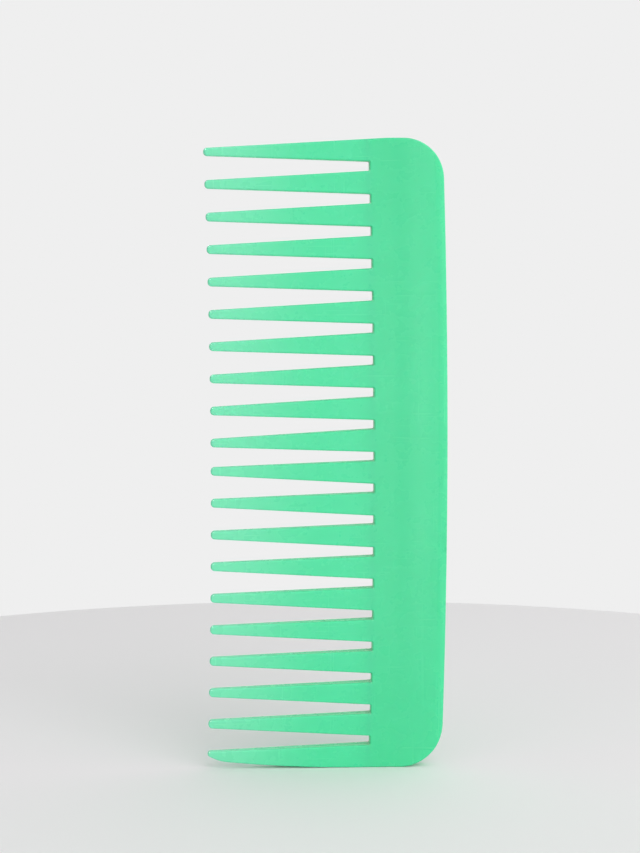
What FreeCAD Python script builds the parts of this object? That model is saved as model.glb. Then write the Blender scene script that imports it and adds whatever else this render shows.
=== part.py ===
"""A wide tooth comb: one crowned spine and twenty tapered teeth, standing on its end.

The comb is a single moulding. A bowed blade gives its thickness, a slotted plate gives its outline,
and what the two have in common, with its rims rounded, is the moulding. It is then divided just
outside the floors of its gaps into the spine and the teeth, so a tooth and the spine share a face.

Frame: +Z runs along the comb, the teeth point to -X, the thickness lies along Y, and the origin is
the middle of the comb's lower end. The features are drawn about the middle of the comb, with x = 0
on the gap floors, and the finished pieces are placed in that frame. Millimetres and degrees.
"""
import FreeCAD, Part
import math
import os
import Sketcher

Vector = FreeCAD.Vector

TEETH = 20
SIZES = {
    "pitch": 8.1,  # from one tooth to the next
    "tooth_root_width": 5.78,
    "tooth_length": 41.3,
    "flank_angle": 2.6,  # from a tooth's own axis to each of its flanks
    "lean_angle": 0.65,  # each tooth leans towards the middle of the comb
    "half_length": 79.9,
    "spine_width": 18.65,
    "corner_radius": 10.4,  # where the back edge turns into the top end
    "low_corner_radius": 11.3,  # where it turns into the foot
    "bow_radius": 2260.0,  # the gap floors, tips and back edge bow away from the tips
    "top_angle": 3.14,  # the slope of the top tooth's outer flank
    "shoulder_place": 3.75,  # from the gap floors to where the top end starts to slope
    "shoulder_radius": 20.0,
    "foot_place": -5.0,  # from the gap floors to where the flat foot of the comb ends
    "belly_radius": 322.0,  # the long curve of the bottom tooth's outer flank
    "chin_place": -37.5,  # from the gap floors to where that flank turns in to its tip
    "chin_radius": 12.0,
    "tip_thickness": 2.2,
    "root_thickness": 4.2,
    "crest_thickness": 5.0,
    "crest_place": 11.5,  # from the gap floors to the thickest line of the spine
    "crown_radius": 62.0,  # across the spine, over the crest
    "blend_radius": 30.0,  # the hollow where the crown meets the flat faces of the teeth
    "heel_place": 16.3,  # from the gap floors to where the crown turns down to the back edge
    "heel_radius": 4.2,
    "heel_reach": 0.3,  # how far the heel's curve is drawn on past the back edge
    "tip_radius": 0.92,  # the two corners of a tip, in the outline
    "nose_radius": 0.62,  # the same on the bottom tooth, which is narrower at its tip
    "floor_radius": 0.35,  # the two corners of a gap's floor, in the outline
    "rim_radius": 0.4,  # the rounding along every edge of the two broad faces
    "root_step": 0.5,  # from a gap's floor out to the root faces of the teeth
    "allowance": 6.0,  # how far the construction solids run past the comb
}
X_AXIS = -1  # the sketch's own x axis, as a constraint numbers it
CENTRE = 3  # a circle's centre, as a constraint numbers its points
STEEP = math.sin(math.radians(45))

doc = FreeCAD.newDocument("wide_tooth_comb")


def make_sheet():
    """The driving dimensions, one alias a row."""
    sheet = doc.addObject("Spreadsheet::Sheet", "sizes")
    for row, (alias, size) in enumerate(SIZES.items(), start=1):
        sheet.set(f"A{row}", alias)
        sheet.set(f"B{row}", str(size))
        sheet.setAlias(f"B{row}", alias)
    doc.recompute()
    return sheet


sizes = make_sheet()


def value(alias):
    return float(sizes.get(alias))


# Sketches. The points that are drawn only have to be near: the constraints then place them.


def flat_sketch(name):
    """A sketch across the comb: its x is X and its y is Y."""
    return doc.addObject("Sketcher::SketchObject", name)


def upright_sketch(name):
    """A sketch in the comb's own plane: its x is X and its y is Z."""
    sketch = doc.addObject("Sketcher::SketchObject", name)
    sketch.Placement = FreeCAD.Placement(Vector(), FreeCAD.Rotation(Vector(1, 0, 0), 90))
    return sketch


def line(sketch, start, end):
    return sketch.addGeometry(Part.LineSegment(Vector(*start, 0), Vector(*end, 0)))


def arc(sketch, centre, start, end):
    """The arc that runs anticlockwise from start to end."""
    first, last = (math.atan2(p[1] - centre[1], p[0] - centre[0]) for p in (start, end))
    circle = Part.Circle(Vector(*centre, 0), Vector(0, 0, 1), math.dist(centre, start))
    return sketch.addGeometry(Part.ArcOfCircle(circle, first, last))


def mirrored(point):
    return (point[0], -point[1])


def between(start, end, share):
    """The point that share of the way from start to end."""
    return tuple(a + share * (b - a) for a, b in zip(start, end))


def swung(centre, radius, angle):
    """The point at this radius and angle from a centre."""
    return (centre[0] + radius * math.cos(angle), centre[1] + radius * math.sin(angle))


def tie(sketch, kind, *where):
    """A constraint with no size of its own."""
    sketch.addConstraint(Sketcher.Constraint(kind, *where))


def drive(sketch, expression, kind, *where):
    """A dimension that follows the sheet."""
    number = sketch.addConstraint(Sketcher.Constraint(kind, *where, drawn_size(sketch, kind, where)))
    sketch.setExpression(f"Constraints[{number}]", expression)


def drawn_size(sketch, kind, where):
    """What a dimension of this kind measures on the geometry as it is drawn."""
    if kind in ("DistanceX", "DistanceY"):
        point = sketch.getPoint(*where)
        return point.x if kind == "DistanceX" else point.y
    geometry = sketch.Geometry[where[0]]
    if kind == "Radius":
        return geometry.Radius
    run = geometry.EndPoint - geometry.StartPoint
    return math.atan2(run.y, run.x)


# The blade: the comb's thickness, carried along its bow


def make_blade_section():
    """The comb's cross-section: flat tapered faces, a hollow, the crown, and the heel at the back."""
    sketch = flat_sketch("blade_section")
    half_root = value("root_thickness") / 2
    slope = (half_root - value("tip_thickness") / 2) / value("tooth_length")
    tip_x = -value("tooth_length") - value("allowance")
    tip = (tip_x, half_root + slope * tip_x)
    foot_x = value("crest_place") / 3
    foot = (foot_x, half_root + slope * foot_x)
    hollow = (foot_x, foot[1] + value("blend_radius"))
    crown = (value("crest_place"), value("crest_thickness") / 2 - value("crown_radius"))
    meet = between(hollow, crown, value("blend_radius") / math.dist(hollow, crown))
    turn_x = value("heel_place")
    turn = (turn_x, crown[1] + math.sqrt(value("crown_radius") ** 2 - (turn_x - crown[0]) ** 2))
    heel = between(turn, crown, value("heel_radius") / value("crown_radius"))
    back_x = value("spine_width") + value("heel_reach")
    back = (back_x, heel[1] + math.sqrt(value("heel_radius") ** 2 - (back_x - heel[0]) ** 2))

    face = line(sketch, tip, foot)
    hollow_arc = arc(sketch, hollow, foot, meet)
    crown_arc = arc(sketch, crown, turn, meet)
    heel_arc = arc(sketch, heel, back, turn)
    back_line = line(sketch, back, mirrored(back))
    far_heel = arc(sketch, mirrored(heel), mirrored(turn), mirrored(back))
    far_crown = arc(sketch, mirrored(crown), mirrored(meet), mirrored(turn))
    far_hollow = arc(sketch, mirrored(hollow), mirrored(meet), mirrored(foot))
    far_face = line(sketch, mirrored(foot), mirrored(tip))
    tip_line = line(sketch, mirrored(tip), tip)

    tie(sketch, "Tangent", face, 2, hollow_arc, 1)
    tie(sketch, "Tangent", hollow_arc, 2, crown_arc, 2)
    tie(sketch, "Tangent", crown_arc, 1, heel_arc, 2)
    tie(sketch, "Coincident", heel_arc, 1, back_line, 1)
    tie(sketch, "Coincident", back_line, 2, far_heel, 2)
    tie(sketch, "Coincident", far_face, 2, tip_line, 1)
    tie(sketch, "Coincident", tip_line, 2, face, 1)
    taper = "(sizes.root_thickness - sizes.tip_thickness) / 2 / sizes.tooth_length"
    reach = "(sizes.tooth_length + sizes.allowance)"
    drive(sketch, f"-{reach}", "DistanceX", face, 1)
    drive(sketch, f"sizes.root_thickness / 2 - {reach} * {taper}", "DistanceY", face, 1)
    drive(sketch, f"atan({taper})", "Angle", face)
    drive(sketch, "sizes.blend_radius", "Radius", hollow_arc)
    drive(sketch, "sizes.crown_radius", "Radius", crown_arc)
    drive(sketch, "sizes.crest_place", "DistanceX", crown_arc, CENTRE)
    drive(sketch, "sizes.crest_thickness / 2 - sizes.crown_radius", "DistanceY", crown_arc, CENTRE)
    drive(sketch, "sizes.heel_place", "DistanceX", crown_arc, 1)
    drive(sketch, "sizes.heel_radius", "Radius", heel_arc)
    drive(sketch, "sizes.spine_width + sizes.heel_reach", "DistanceX", heel_arc, 1)
    for near, far in ((heel_arc, far_heel), (crown_arc, far_crown), (hollow_arc, far_hollow)):
        tie(sketch, "Symmetric", near, 1, far, 2, X_AXIS)
        tie(sketch, "Symmetric", near, 2, far, 1, X_AXIS)
        tie(sketch, "Equal", near, far)
    tie(sketch, "Symmetric", face, 2, far_face, 1, X_AXIS)
    tie(sketch, "Symmetric", face, 1, far_face, 2, X_AXIS)
    return sketch


def make_blade():
    """The cross-section, turned about the centre of the bow."""
    blade = doc.addObject("Part::Revolution", "blade")
    blade.Source = make_blade_section()
    blade.Axis = Vector(0, 1, 0)
    blade.setExpression("Base.x", "-sizes.bow_radius")
    blade.setExpression("Angle", "2 * asin((sizes.half_length + sizes.allowance) / sizes.bow_radius)")
    blade.Symmetric = True
    blade.Solid = True
    return blade


# The slotted plate: the comb's outline


def extruded(name, sketch):
    """A plate thicker than the comb, half of it on each side of the sketch."""
    plate = doc.addObject("Part::Extrusion", name)
    plate.Base = sketch
    plate.DirMode = "Normal"
    plate.setExpression("LengthFwd", "sizes.crest_thickness + sizes.allowance")
    plate.Symmetric = True
    plate.Solid = True
    return plate


def floor_x(height):
    """Where the bowed line of the gap floors stands at this height from the comb's middle."""
    return math.sqrt(value("bow_radius") ** 2 - height**2) - value("bow_radius")


def back_corner(radius):
    """A corner at the top of the back edge: its centre, and where it meets the end and the back."""
    bow, top = value("bow_radius"), value("half_length")
    back = bow + value("spine_width")
    height = top - radius
    centre = (math.sqrt((back - radius) ** 2 - height**2) - bow, height)
    return centre, (centre[0], top), swung((-bow, 0), back, math.atan2(height, centre[0] + bow))


def make_outline():
    """The comb's outer outline, with its tips still joined by their own bowed line."""
    sketch = upright_sketch("outline")
    bow, top = value("bow_radius"), value("half_length")
    bow_centre = (-bow, 0)
    tip_x = floor_x(top) - value("tooth_length")

    drop = math.radians(value("top_angle"))
    shoulder = (value("shoulder_place"), top - value("shoulder_radius"))
    shoulder_top = (shoulder[0], top)
    shoulder_end = swung(shoulder, value("shoulder_radius"), math.pi / 2 + drop)
    tip = (tip_x, shoulder_end[1] - (shoulder_end[0] - tip_x) * math.tan(drop))

    belly = (value("foot_place"), value("belly_radius") - top)
    foot_end = (belly[0], -top)
    rise = math.asin((belly[0] - value("chin_place")) / value("belly_radius"))
    belly_end = swung(belly, value("belly_radius"), -math.pi / 2 - rise)
    chin = between(belly_end, belly, value("chin_radius") / value("belly_radius"))
    low_tip = (tip_x, chin[1] - math.sqrt(value("chin_radius") ** 2 - (chin[0] - tip_x) ** 2))

    corner, corner_top, corner_end = back_corner(value("corner_radius"))
    low_points = [mirrored(point) for point in back_corner(value("low_corner_radius"))]
    low_corner_centre, foot_start, low_end = low_points

    tips = arc(sketch, bow_centre, low_tip, tip)
    flank = line(sketch, tip, shoulder_end)
    shoulder_arc = arc(sketch, shoulder, shoulder_top, shoulder_end)
    end = line(sketch, shoulder_top, corner_top)
    corner_arc = arc(sketch, corner, corner_end, corner_top)
    back_arc = arc(sketch, bow_centre, low_end, corner_end)
    low_corner = arc(sketch, low_corner_centre, foot_start, low_end)
    foot = line(sketch, foot_start, foot_end)
    belly_arc = arc(sketch, belly, belly_end, foot_end)
    chin_arc = arc(sketch, chin, low_tip, belly_end)

    tie(sketch, "Coincident", tips, 2, flank, 1)
    tie(sketch, "Tangent", flank, 2, shoulder_arc, 2)
    tie(sketch, "Tangent", shoulder_arc, 1, end, 1)
    tie(sketch, "Tangent", end, 2, corner_arc, 2)
    tie(sketch, "Tangent", corner_arc, 1, back_arc, 2)
    tie(sketch, "Tangent", back_arc, 1, low_corner, 2)
    tie(sketch, "Tangent", low_corner, 1, foot, 1)
    tie(sketch, "Tangent", foot, 2, belly_arc, 2)
    tie(sketch, "Tangent", belly_arc, 1, chin_arc, 2)
    tie(sketch, "Coincident", chin_arc, 1, tips, 1)
    tie(sketch, "Horizontal", end)
    tie(sketch, "Horizontal", foot)
    for bowed in (tips, back_arc):
        tie(sketch, "PointOnObject", bowed, CENTRE, X_AXIS)
        drive(sketch, "-sizes.bow_radius", "DistanceX", bowed, CENTRE)
    drive(sketch, "sizes.bow_radius - sizes.tooth_length", "Radius", tips)
    drive(sketch, "sizes.bow_radius + sizes.spine_width", "Radius", back_arc)
    drive(sketch, "sizes.corner_radius", "Radius", corner_arc)
    drive(sketch, "sizes.low_corner_radius", "Radius", low_corner)
    drive(sketch, "sizes.half_length", "DistanceY", end, 1)
    drive(sketch, "sizes.shoulder_place", "DistanceX", shoulder_arc, 1)
    drive(sketch, "sizes.shoulder_radius", "Radius", shoulder_arc)
    drive(sketch, "sizes.top_angle", "Angle", flank)
    drive(sketch, "-sizes.half_length", "DistanceY", foot, 1)
    drive(sketch, "sizes.foot_place", "DistanceX", foot, 2)
    drive(sketch, "sizes.belly_radius", "Radius", belly_arc)
    drive(sketch, "sizes.chin_place", "DistanceX", belly_arc, 1)
    drive(sketch, "sizes.chin_radius", "Radius", chin_arc)
    return extruded("outline_plate", sketch)


def lean(tooth):
    """Upwards for the lower half of the teeth, which are numbered from the bottom."""
    return 1 if tooth <= TEETH / 2 else -1


def make_slot(number):
    """The gap above the tooth of this number: a square floor, opening out towards the tips."""
    sketch = upright_sketch(f"slot_{number:02d}_section")
    place = number - TEETH / 2
    height = place * value("pitch")
    half_floor = (value("pitch") - value("tooth_root_width")) / 2
    reach = value("tooth_length") + value("allowance")
    rise_below = math.radians(value("flank_angle") - lean(number) * value("lean_angle"))
    rise_above = math.radians(value("flank_angle") + lean(number + 1) * value("lean_angle"))
    floor_low = (floor_x(height), height - half_floor)
    floor_high = (floor_x(height), height + half_floor)
    mouth_low = (-reach, floor_low[1] - (reach + floor_low[0]) * math.tan(rise_below))
    mouth_high = (-reach, floor_high[1] + (reach + floor_high[0]) * math.tan(rise_above))

    floor = line(sketch, floor_low, floor_high)
    upper = line(sketch, mouth_high, floor_high)
    lower = line(sketch, mouth_low, floor_low)
    mouth = line(sketch, mouth_low, mouth_high)

    tie(sketch, "Coincident", floor, 1, lower, 2)
    tie(sketch, "Coincident", floor, 2, upper, 2)
    tie(sketch, "Coincident", mouth, 1, lower, 1)
    tie(sketch, "Coincident", mouth, 2, upper, 1)
    tie(sketch, "Vertical", floor)
    tie(sketch, "Vertical", mouth)
    half_gap = "(sizes.pitch - sizes.tooth_root_width) / 2"
    centre = f"{place} * sizes.pitch"
    drive(sketch, f"{centre} - {half_gap}", "DistanceY", floor, 1)
    drive(sketch, f"{centre} + {half_gap}", "DistanceY", floor, 2)
    drive(
        sketch,
        f"sqrt(sizes.bow_radius^2 - ({centre})^2) - sizes.bow_radius",
        "DistanceX",
        floor,
        1,
    )
    drive(sketch, "-(sizes.tooth_length + sizes.allowance)", "DistanceX", mouth, 1)
    drive(sketch, f"sizes.flank_angle - {lean(number)} * sizes.lean_angle", "Angle", lower)
    drive(sketch, f"-sizes.flank_angle - {lean(number + 1)} * sizes.lean_angle", "Angle", upper)
    return extruded(f"slot_{number:02d}", sketch)


def from_floors(point):
    """How far a point lies outside the bowed line of the gap floors, towards the back."""
    return math.hypot(point.x + value("bow_radius"), point.z) - value("bow_radius")


def is_upright(edge):
    """Whether an edge of the plate runs straight through its thickness."""
    first, last = edge.Vertexes[0].Point, edge.Vertexes[-1].Point
    return abs(first.y - last.y) > max(abs(first.x - last.x), abs(first.z - last.z))


def make_plate():
    """The outline less its slots, with the corners of the tips and gap floors rounded."""
    slots = doc.addObject("Part::MultiFuse", "slots")
    slots.Shapes = [make_slot(number) for number in range(1, TEETH)]
    cut = doc.addObject("Part::Cut", "slotted_plate")
    cut.Base = make_outline()
    cut.Tool = slots
    doc.recompute()

    halfway = -value("tooth_length") / 2
    bottom_cell = (1 - TEETH / 2) * value("pitch")
    rounded = []
    for number, edge in enumerate(cut.Shape.Edges, start=1):
        if is_upright(edge) and is_corner(cut.Shape, edge):
            point = edge.Vertexes[0].Point
            radius = value("floor_radius")
            if from_floors(point) < halfway:
                radius = value("nose_radius" if point.z < bottom_cell else "tip_radius")
            rounded.append((number, radius, radius))
    plate = doc.addObject("Part::Fillet", "plate")
    plate.Base = cut
    plate.Edges = rounded
    return plate


def normals(shape, edge):
    """The outward directions of the faces that meet at an edge, at the middle of the edge."""
    middle = edge.valueAt((edge.FirstParameter + edge.LastParameter) / 2)
    faces = shape.ancestorsOfType(edge, Part.Face)
    return [face.normalAt(*face.Surface.parameter(middle)) for face in faces]


def is_corner(shape, edge):
    """Whether the two walls at this upright edge turn a corner, rather than run on."""
    first, last = normals(shape, edge)
    return abs(first.dot(last)) < STEEP


# The moulding


def is_rim(shape, edge):
    """Whether an edge lies between a wall of the outline and one of the comb's broad faces."""
    if is_upright(edge):
        return False
    walls = [normal for normal in normals(shape, edge) if abs(normal.y) < STEEP]
    return len(walls) == 1


def make_moulding():
    """The whole comb: blade and plate in common, with every rim rounded."""
    blade, plate = make_blade(), make_plate()
    square = doc.addObject("Part::MultiCommon", "square_comb")
    square.Shapes = [blade, plate]
    doc.recompute()
    radius = value("rim_radius")
    edges = enumerate(square.Shape.Edges, start=1)
    moulding = doc.addObject("Part::Fillet", "moulding")
    moulding.Base = square
    moulding.Edges = [(number, radius, radius) for number, edge in edges if is_rim(square.Shape, edge)]
    doc.recompute()
    return moulding


# The pieces


def make_tooth_side():
    """Everything on the teeth's side of their root faces: a drum about the centre of the bow."""
    drum = doc.addObject("Part::Cylinder", "tooth_side")
    drum.Placement = FreeCAD.Placement(Vector(), FreeCAD.Rotation(Vector(1, 0, 0), -90))
    drum.setExpression("Radius", "sizes.bow_radius - sizes.root_step")
    drum.setExpression("Height", "sizes.crest_thickness + sizes.allowance")
    drum.setExpression("Placement.Base.x", "-sizes.bow_radius")
    drum.setExpression("Placement.Base.y", "-(sizes.crest_thickness + sizes.allowance) / 2")
    return drum


def tooth_name(number):
    names = {1: "end_tooth_bottom", TEETH: "end_tooth_top"}
    return names.get(number, f"tooth_{number:02d}")


def make_tooth(number, moulding, tooth_side):
    """The moulding within one pitch, out from the tooth's root face."""
    cell = doc.addObject("Part::Box", f"cell_{number:02d}")
    cell.setExpression("Length", "sizes.tooth_length + 2 * sizes.allowance")
    cell.setExpression("Width", "sizes.crest_thickness + sizes.allowance")
    cell.setExpression("Height", "sizes.pitch")
    cell.setExpression("Placement.Base.x", "-sizes.tooth_length - sizes.allowance")
    cell.setExpression("Placement.Base.y", "-(sizes.crest_thickness + sizes.allowance) / 2")
    cell.setExpression("Placement.Base.z", f"{number - 1 - TEETH / 2} * sizes.pitch")
    tooth = doc.addObject("Part::MultiCommon", tooth_name(number))
    tooth.Shapes = [moulding, cell, tooth_side]
    tooth.Label = tooth_name(number)
    return tooth


def make_spine(moulding, tooth_side):
    """The moulding from the root faces of the teeth to the back edge."""
    spine = doc.addObject("Part::Cut", "spine")
    spine.Base = moulding
    spine.Tool = tooth_side
    spine.Label = "spine"
    return spine


def stand(pieces, moulding):
    """Move the pieces so that the origin is the middle of the comb's lower end."""
    box = moulding.Shape.optimalBoundingBox(False)
    for piece in pieces:
        piece.Placement = FreeCAD.Placement(
            Vector(-box.Center.x, -box.Center.y, -box.ZMin), FreeCAD.Rotation()
        )


def check(pieces):
    """Stop before anything is written if a feature failed or a piece is not one sound solid."""
    failed = [item.Name for item in doc.Objects if {"Invalid", "Error"} & set(item.State)]
    if failed:
        raise RuntimeError(f"failed features: {failed}")
    for piece in pieces:
        if piece.Shape.isNull() or not piece.Shape.isValid() or len(piece.Shape.Solids) != 1:
            raise RuntimeError(f"{piece.Label} is not one sound solid")


moulding = make_moulding()
tooth_side = make_tooth_side()
pieces = [make_spine(moulding, tooth_side)]
pieces += [make_tooth(number, moulding, tooth_side) for number in range(1, TEETH + 1)]
doc.recompute()
stand(pieces, moulding)
doc.recompute()
check(pieces)

os.makedirs("parts", exist_ok=True)
for piece in pieces:
    piece.Shape.exportStep(f"parts/{piece.Label}.step")
    print(f"{piece.Label}: {piece.Shape.Volume:.1f} mm3")
box = moulding.Shape.optimalBoundingBox(False)
print(f"comb: {box.XLength:.2f} x {box.YLength:.2f} x {box.ZLength:.2f} mm")
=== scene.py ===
import math

import bmesh
import bpy
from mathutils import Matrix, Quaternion, Vector


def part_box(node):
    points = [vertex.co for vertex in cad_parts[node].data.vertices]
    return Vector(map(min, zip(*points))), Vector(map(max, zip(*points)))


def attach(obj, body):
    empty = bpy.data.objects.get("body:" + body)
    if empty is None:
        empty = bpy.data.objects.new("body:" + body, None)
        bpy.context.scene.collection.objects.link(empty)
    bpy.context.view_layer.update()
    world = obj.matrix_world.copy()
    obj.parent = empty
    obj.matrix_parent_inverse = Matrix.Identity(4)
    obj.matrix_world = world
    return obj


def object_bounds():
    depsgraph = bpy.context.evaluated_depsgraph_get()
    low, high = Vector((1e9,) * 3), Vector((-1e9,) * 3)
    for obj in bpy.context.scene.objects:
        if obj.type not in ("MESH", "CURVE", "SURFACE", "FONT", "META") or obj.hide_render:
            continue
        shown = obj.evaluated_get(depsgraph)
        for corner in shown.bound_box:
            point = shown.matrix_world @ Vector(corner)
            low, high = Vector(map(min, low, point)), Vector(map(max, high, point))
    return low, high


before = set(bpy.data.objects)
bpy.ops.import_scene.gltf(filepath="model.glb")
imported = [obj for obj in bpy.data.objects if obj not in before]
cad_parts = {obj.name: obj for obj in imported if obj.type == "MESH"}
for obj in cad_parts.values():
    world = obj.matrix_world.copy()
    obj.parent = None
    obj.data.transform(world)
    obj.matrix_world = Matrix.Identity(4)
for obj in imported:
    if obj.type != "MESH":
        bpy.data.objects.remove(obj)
cad_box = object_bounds()

low, high = cad_box
middle = (low + high) / 2

# Lengths are in metres. The comb stands on its end with its teeth towards -X, seen from -Y.


# Camera, at the photograph's viewing angle

CAMERA_AZIMUTH = math.radians(-3.246)
CAMERA_ELEVATION = math.radians(4.817)
CAMERA_ROLL = math.radians(-0.144)
CAMERA_DISTANCE = 0.49837
CAMERA_LENS_MM = 83.16
CAMERA_SENSOR_MM = 36
AIM_FROM_MIDDLE = Vector((-0.00169, 0, 0.00758))


def direction(azimuth, elevation):
    """The unit vector from the comb towards this azimuth and elevation, in radians."""
    return Vector(
        (
            math.sin(azimuth) * math.cos(elevation),
            -math.cos(azimuth) * math.cos(elevation),
            math.sin(elevation),
        )
    )


def make_camera():
    back = direction(CAMERA_AZIMUTH, CAMERA_ELEVATION)
    camera = bpy.data.objects.new("camera", bpy.data.cameras.new("camera"))
    bpy.context.scene.collection.objects.link(camera)
    camera.data.sensor_width = CAMERA_SENSOR_MM
    camera.data.lens = CAMERA_LENS_MM
    camera.location = middle + AIM_FROM_MIDDLE + back * CAMERA_DISTANCE
    camera.rotation_mode = "QUATERNION"
    facing = (-back).to_track_quat("-Z", "Y")
    camera.rotation_quaternion = facing @ Quaternion((0, 0, 1), CAMERA_ROLL)
    bpy.context.scene.camera = camera


# Shader nodes


class Graph:
    """A material's node tree, with a short way to add and link its nodes."""

    def __init__(self, name):
        self.material = bpy.data.materials.new(name)
        self.material.use_nodes = True
        self.tree = self.material.node_tree
        self.shader = self.tree.nodes["Principled BSDF"]

    def node(self, kind, **settings):
        node = self.tree.nodes.new(kind)
        for key, setting in settings.items():
            setattr(node, key, setting)
        return node

    def link(self, source, target):
        self.tree.links.new(source, target)

    def stretched(self, scale, turn=(0, 0, 0)):
        """Object coordinates, turned by an angle in degrees and scaled along each axis."""
        coordinates = self.node("ShaderNodeTexCoord")
        mapping = self.node("ShaderNodeMapping")
        mapping.inputs["Rotation"].default_value = [math.radians(angle) for angle in turn]
        mapping.inputs["Scale"].default_value = scale
        self.link(coordinates.outputs["Object"], mapping.inputs["Vector"])
        return mapping.outputs["Vector"]

    def noise(self, vector, detail):
        noise = self.node("ShaderNodeTexNoise")
        noise.inputs["Scale"].default_value = 1
        noise.inputs["Detail"].default_value = detail
        self.link(vector, noise.inputs["Vector"])
        return noise.outputs["Fac"]

    def remap(self, source, from_low, from_high, to_low, to_high):
        """A value that goes smoothly between two others, and stays level beyond them."""
        remap = self.node("ShaderNodeMapRange", interpolation_type="SMOOTHSTEP")
        remap.inputs["From Min"].default_value = from_low
        remap.inputs["From Max"].default_value = from_high
        remap.inputs["To Min"].default_value = to_low
        remap.inputs["To Max"].default_value = to_high
        self.link(source, remap.inputs["Value"])
        return remap.outputs["Result"]

    def math(self, operation, first, second):
        """The sum, product or other result of two values, each a number or an output."""
        node = self.node("ShaderNodeMath", operation=operation)
        for number, value in enumerate((first, second)):
            if isinstance(value, (int, float)):
                node.inputs[number].default_value = value
            else:
                self.link(value, node.inputs[number])
        return node.outputs["Value"]

    def mix(self, factor, first, second):
        """Two colours, each a tuple or an output, mixed by a factor."""
        node = self.node("ShaderNodeMix", data_type="RGBA")
        self.link(factor, node.inputs["Factor"])
        for name, value in (("A", first), ("B", second)):
            socket = next(s for s in node.inputs if s.name == name and s.type == "RGBA")
            if isinstance(value, tuple):
                socket.default_value = value
            else:
                self.link(value, socket)
        return next(s for s in node.outputs if s.type == "RGBA")

    def bump(self, height, distance, strength, under=None):
        """A normal that follows a height, laid over the normal under it."""
        bump = self.node("ShaderNodeBump")
        bump.inputs["Distance"].default_value = distance
        bump.inputs["Strength"].default_value = strength
        self.link(height, bump.inputs["Height"])
        if under is not None:
            self.link(under, bump.inputs["Normal"])
        return bump.outputs["Normal"]


# The comb's plastic

MINT = (0.062, 0.722, 0.336, 1)
MINT_DEEP = (0.057, 0.706, 0.324, 1)
MINT_PALE = (0.067, 0.738, 0.348, 1)
# Painted light: paler mint for the thin teeth and their tips, as if lit through the plastic
MINT_TOOTH_PAINTED_LIGHT = (0.078, 0.790, 0.396, 1)
MINT_TIP_PAINTED_LIGHT = (0.215, 0.835, 0.515, 1)
MINT_SCUFF = (0.270, 0.800, 0.520, 1)

# Where the two paler tints of the teeth start and end along X, and how strong they get: painted
# light, with the thin teeth and tips made paler as if more light came through them
TOOTH_LIGHT_START = 0.015
TOOTH_LIGHT_END = 0.004
TOOTH_PAINTED_LIGHT = 0.75
TIP_LIGHT_START = 0.0
TIP_PAINTED_LIGHT = 0.85
TIP_LENGTH = 0.005

# Noise: how finely each pattern repeats along each axis, and how its marks are turned
FLOW_SCALE = (25, 60, 90)
CLOUD_SCALE = (260, 260, 260)
GRAIN_SCALE = (3500, 3500, 3500)
LONG_MARK_SCALE = (1400, 1400, 22)
LONG_MARK_TURN = (0, 14, 0)
CROSS_MARK_SCALE = (26, 1500, 1700)
CROSS_MARK_TURN = (0, -6, 0)

# Which part of a noise's range each look follows, from its least to its most
FLOW_SPREAD = (0.35, 0.65)
CLOUD_SPREAD = (0.2, 0.8)
SHEEN_SPREAD = (0.25, 0.75)
SCRATCH_SPREAD = (0.66, 0.72)
SCUFF_SPREAD = (0.62, 0.74)

CLOUD_TINT_LOW = 0.4
CLOUD_TINT_HIGH = 0.9

SCUFF_TINT = 0.35
SCUFF_BEHIND_TIPS = 0.12
ROUGHNESS_LOW = 0.26
ROUGHNESS_HIGH = 0.29
SCRATCH_ROUGHNESS = 0.10
TIP_POLISH = 0.06

# Each bump's distance and strength
FLOW_BUMP = (0.00012, 0.5)
GRAIN_BUMP = (0.000006, 0.5)
SCRATCH_BUMP = (0.000008, 0.6)

PLASTIC_IOR = 1.49
SCATTER_WEIGHT = 0.2
SCATTER_RADIUS = (0.0008, 0.003, 0.0018)


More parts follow.
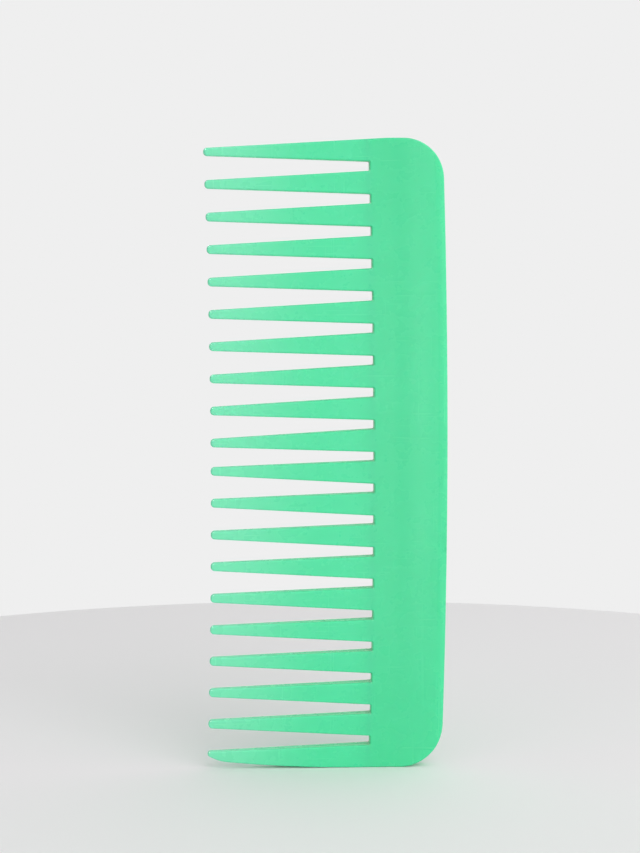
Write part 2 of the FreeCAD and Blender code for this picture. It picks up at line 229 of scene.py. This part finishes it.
def make_plastic():
    """Semi-gloss mint plastic with faint flow, scratches and scuffs, and painted light that makes
    the teeth paler towards the tips.
    """
    graph = Graph("mint_plastic")
    coordinates = graph.node("ShaderNodeTexCoord")
    axes = graph.node("ShaderNodeSeparateXYZ")
    graph.link(coordinates.outputs["Object"], axes.inputs["Vector"])
    place = axes.outputs["X"]
    # Painted light: masks that pale the teeth and their tips, as if lit through the thin plastic
    teeth_painted_light = graph.remap(place, TOOTH_LIGHT_START, TOOTH_LIGHT_END, 0, TOOTH_PAINTED_LIGHT)
    tips_painted_light = graph.remap(place, TIP_LIGHT_START, low.x, 0, TIP_PAINTED_LIGHT)
    at_tips = graph.remap(place, low.x + TIP_LENGTH, low.x, 0, 1)

    flow = graph.noise(graph.stretched(FLOW_SCALE), detail=3)
    cloud = graph.noise(graph.stretched(CLOUD_SCALE), detail=4)
    grain = graph.noise(graph.stretched(GRAIN_SCALE), detail=1)
    long_marks = graph.noise(graph.stretched(LONG_MARK_SCALE, LONG_MARK_TURN), detail=2)
    cross_marks = graph.noise(graph.stretched(CROSS_MARK_SCALE, CROSS_MARK_TURN), detail=2)

    colour = graph.mix(graph.remap(flow, *FLOW_SPREAD, 0, 1), MINT_DEEP, MINT_PALE)
    evenness = graph.remap(cloud, *CLOUD_SPREAD, CLOUD_TINT_LOW, CLOUD_TINT_HIGH)
    colour = graph.mix(evenness, colour, MINT)
    # Painted light: the teeth and tips made paler
    colour = graph.mix(teeth_painted_light, colour, MINT_TOOTH_PAINTED_LIGHT)
    colour = graph.mix(tips_painted_light, colour, MINT_TIP_PAINTED_LIGHT)
    scuffs = graph.math("MULTIPLY", graph.remap(cross_marks, *SCUFF_SPREAD, 0, 1), SCUFF_TINT)
    scuffs = graph.math("MULTIPLY", scuffs, graph.math("ADD", at_tips, SCUFF_BEHIND_TIPS))
    colour = graph.mix(scuffs, colour, MINT_SCUFF)
    graph.link(colour, graph.shader.inputs["Base Color"])

    scratches = graph.math(
        "MAXIMUM",
        graph.remap(long_marks, *SCRATCH_SPREAD, 0, 1),
        graph.remap(cross_marks, *SCRATCH_SPREAD, 0, 1),
    )
    roughness = graph.remap(cloud, *SHEEN_SPREAD, ROUGHNESS_LOW, ROUGHNESS_HIGH)
    scratched = graph.math("MULTIPLY", scratches, SCRATCH_ROUGHNESS)
    roughness = graph.math("ADD", roughness, scratched)
    polished = graph.math("MULTIPLY", at_tips, TIP_POLISH)
    roughness = graph.math("SUBTRACT", roughness, polished)
    graph.link(roughness, graph.shader.inputs["Roughness"])

    normal = graph.bump(flow, *FLOW_BUMP)
    normal = graph.bump(grain, *GRAIN_BUMP, normal)
    normal = graph.bump(graph.math("MULTIPLY", scratches, -1.0), *SCRATCH_BUMP, normal)
    graph.link(normal, graph.shader.inputs["Normal"])

    graph.shader.inputs["IOR"].default_value = PLASTIC_IOR
    graph.shader.inputs["Subsurface Weight"].default_value = SCATTER_WEIGHT
    graph.shader.inputs["Subsurface Radius"].default_value = SCATTER_RADIUS
    graph.shader.inputs["Subsurface Scale"].default_value = 1.0
    return graph.material


# The parting line: the fine ridge that the two halves of the mould leave round the comb's edge

RIDGE_RADIUS = 0.00007
NEAR = 0.00005
SAME_POINT = NEAR / 5


def on_root(edge, roots):
    """Whether an edge of the section lies on a tooth's root face, inside the comb."""
    for box_low, box_high in roots:
        if all(
            abs(vert.co.x - box_high.x) < NEAR and box_low.z - NEAR < vert.co.z < box_high.z + NEAR
            for vert in edge.verts
        ):
            return True
    return False


def make_section():
    """The comb's outline, as a mesh of edges: where the middle plane cuts its surface."""
    roots = [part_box(name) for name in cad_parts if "tooth" in name]
    section = bmesh.new()
    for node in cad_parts.values():
        section.from_mesh(node.data)
    bmesh.ops.bisect_plane(
        section,
        geom=section.verts[:] + section.edges[:] + section.faces[:],
        plane_co=(0, middle.y, 0),
        plane_no=(0, 1, 0),
        clear_inner=True,
        clear_outer=True,
    )
    inside = [edge for edge in section.edges if on_root(edge, roots)]
    bmesh.ops.delete(section, geom=inside, context="EDGES")
    bmesh.ops.remove_doubles(section, verts=section.verts[:], dist=SAME_POINT)
    data = bpy.data.meshes.new("parting_line")
    section.to_mesh(data)
    section.free()
    return data


def make_parting_line(material):
    piece = bpy.data.objects.new("parting_line", make_section())
    bpy.context.scene.collection.objects.link(piece)
    bpy.ops.object.select_all(action="DESELECT")
    piece.select_set(True)
    bpy.context.view_layer.objects.active = piece
    bpy.ops.object.convert(target="CURVE")
    piece = bpy.context.object
    piece.data.bevel_depth = RIDGE_RADIUS
    piece.data.bevel_resolution = 1
    bpy.ops.object.convert(target="MESH")
    piece = bpy.context.object
    piece.data.materials.clear()
    piece.data.materials.append(material)
    for polygon in piece.data.polygons:
        polygon.use_smooth = True
    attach(piece, "root")


# The table that the comb stands on

TABLE_RADIUS = 0.25
TABLE_MIDDLE_RADIUS = TABLE_RADIUS / 2
TABLE_EDGE_RADIUS = 0.004
TABLE_EDGE_STEPS = 8
TABLE_SIDES = 128
TABLE_COLOUR = (0.85, 0.838, 0.845, 1)
TABLE_ROUGHNESS = 0.7
TABLE_SPECULAR = 0.2


def make_table():
    """A round pale table top with a rolled edge, level with the comb's foot."""
    profile = [(TABLE_MIDDLE_RADIUS, 0.0)]
    for step in range(TABLE_EDGE_STEPS + 1):
        angle = math.radians(90 - 180 * step / TABLE_EDGE_STEPS)
        reach = TABLE_RADIUS - TABLE_EDGE_RADIUS + TABLE_EDGE_RADIUS * math.cos(angle)
        profile.append((reach, TABLE_EDGE_RADIUS * (math.sin(angle) - 1)))
    turns = [2 * math.pi * side / TABLE_SIDES for side in range(TABLE_SIDES)]
    mesh = bmesh.new()
    rings = []
    for reach, height in profile:
        ring = [(reach * math.cos(turn), reach * math.sin(turn), height) for turn in turns]
        rings.append([mesh.verts.new(place) for place in ring])
    mesh.faces.new(rings[0])
    for inner, outer in zip(rings, rings[1:]):
        for side in range(TABLE_SIDES):
            after = (side + 1) % TABLE_SIDES
            mesh.faces.new((inner[side], outer[side], outer[after], inner[after]))
    data = bpy.data.meshes.new("table")
    mesh.to_mesh(data)
    mesh.free()
    for polygon in data.polygons:
        polygon.use_smooth = True
    table = bpy.data.objects.new("table", data)
    bpy.context.scene.collection.objects.link(table)
    graph = Graph("pale_table")
    graph.shader.inputs["Base Color"].default_value = TABLE_COLOUR
    graph.shader.inputs["Roughness"].default_value = TABLE_ROUGHNESS
    graph.shader.inputs["Specular IOR Level"].default_value = TABLE_SPECULAR
    table.data.materials.append(graph.material)


# Studio light

BACKDROP = (0.863, 0.863, 0.863, 1)
ROOM_LEFT = (0.42, 0.42, 0.42, 1)
ROOM_RIGHT = (1.10, 1.10, 1.10, 1)


def make_area_light(name, azimuth, elevation, distance, size, power, only_gloss=False):
    """A rectangular light that faces the comb. Its angles are in degrees, its power in watts."""
    data = bpy.data.lights.new(name, "AREA")
    data.shape = "RECTANGLE"
    data.size, data.size_y = size
    data.energy = power
    light = bpy.data.objects.new(name, data)
    bpy.context.scene.collection.objects.link(light)
    away = direction(math.radians(azimuth), math.radians(elevation))
    light.location = middle + away * distance
    light.rotation_mode = "QUATERNION"
    light.rotation_quaternion = (-away).to_track_quat("-Z", "Y")
    light.visible_diffuse = not only_gloss


def make_lights():
    make_area_light("key", 26, 34, distance=1.3, size=(0.9, 0.9), power=5)
    # Two windows that show only as soft reflections on the spine's crest
    for name, elevation in (("upper_window", 0.7), ("lower_window", -7.2)):
        make_area_light(
            name, 7.5, elevation, distance=1.5, size=(0.10, 0.16), power=0.36, only_gloss=True
        )
    make_area_light("side", 58, 2, distance=1.3, size=(0.3, 0.9), power=0.6)
    # A small bright light for the white dots on the tips
    make_area_light("glint", -40, 42, distance=1.3, size=(0.1, 0.1), power=26, only_gloss=True)


def make_world():
    """A pale backdrop to look at, and a room, dimmer on its left, to light the comb by."""
    world = bpy.data.worlds.new("studio")
    bpy.context.scene.world = world
    world.use_nodes = True
    tree = world.node_tree

    def background(colour):
        node = tree.nodes.new("ShaderNodeBackground")
        node.inputs["Color"].default_value = colour
        return node.outputs["Background"]

    def mixed(factor, first, second):
        node = tree.nodes.new("ShaderNodeMixShader")
        tree.links.new(factor, node.inputs["Fac"])
        tree.links.new(first, node.inputs[1])
        tree.links.new(second, node.inputs[2])
        return node.outputs["Shader"]

    # In a world, Generated is the direction looked in: its X goes from -1, left, to 1, right
    towards = tree.nodes.new("ShaderNodeTexCoord")
    axes = tree.nodes.new("ShaderNodeSeparateXYZ")
    across = tree.nodes.new("ShaderNodeMapRange")
    across.inputs["From Min"].default_value = -1
    tree.links.new(towards.outputs["Generated"], axes.inputs["Vector"])
    tree.links.new(axes.outputs["X"], across.inputs["Value"])
    room = mixed(across.outputs["Result"], background(ROOM_LEFT), background(ROOM_RIGHT))
    path = tree.nodes.new("ShaderNodeLightPath")
    surroundings = mixed(path.outputs["Is Camera Ray"], room, background(BACKDROP))
    tree.links.new(surroundings, tree.nodes["World Output"].inputs["Surface"])


make_camera()
plastic = make_plastic()
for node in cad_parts.values():
    for slot in node.material_slots:
        slot.material = plastic
make_parting_line(plastic)
make_table()
make_lights()
make_world()

bpy.context.scene.view_settings.view_transform = "Standard"
